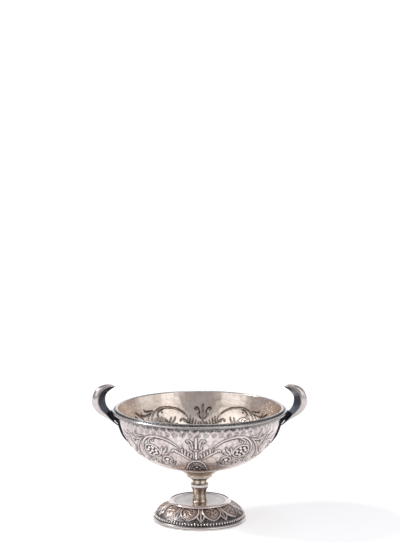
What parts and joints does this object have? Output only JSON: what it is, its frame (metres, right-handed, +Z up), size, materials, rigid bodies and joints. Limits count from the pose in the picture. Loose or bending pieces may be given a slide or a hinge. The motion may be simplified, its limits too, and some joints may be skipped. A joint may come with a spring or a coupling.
{
  "type": "kantharos cup",
  "caption": "Footed drinking cup in chased white metal: wide round bowl with a moulded rim, two high horn-shaped handles, short knopped stem and a domed foot with leaves and a beaded edge.",
  "frame": {"origin": "centre of the foot's underside, on the surface that the cup stands on", "axes": "+Z up along the cup's axis, +X from one handle to the other, -Y towards the viewer of the picture"},
  "size_m": [0.1482, 0.12, 0.0951],
  "materials": {
    "chased_silver": "hammered and chased silver, darkened in the recesses",
    "polished_silver": "polished silver",
    "warm_silver": "silver with a warm brown tarnish",
    "oxidised_silver": "blackened silver"
  },
  "bodies": {
    "root": {"bowl": "chased_silver", "rim_moulding": "polished_silver", "calyx": "warm_silver", "upper_collar": "polished_silver", "stem": "warm_silver", "knop_ring": "polished_silver", "foot_dish": "polished_silver", "foot_skirt": "chased_silver", "beaded_wire": "oxidised_silver", "base_ring": "polished_silver", "horn_right": "polished_silver", "horn_left": "polished_silver", "strap_right": "oxidised_silver", "strap_left": "oxidised_silver"}
  },
  "joints": []
}
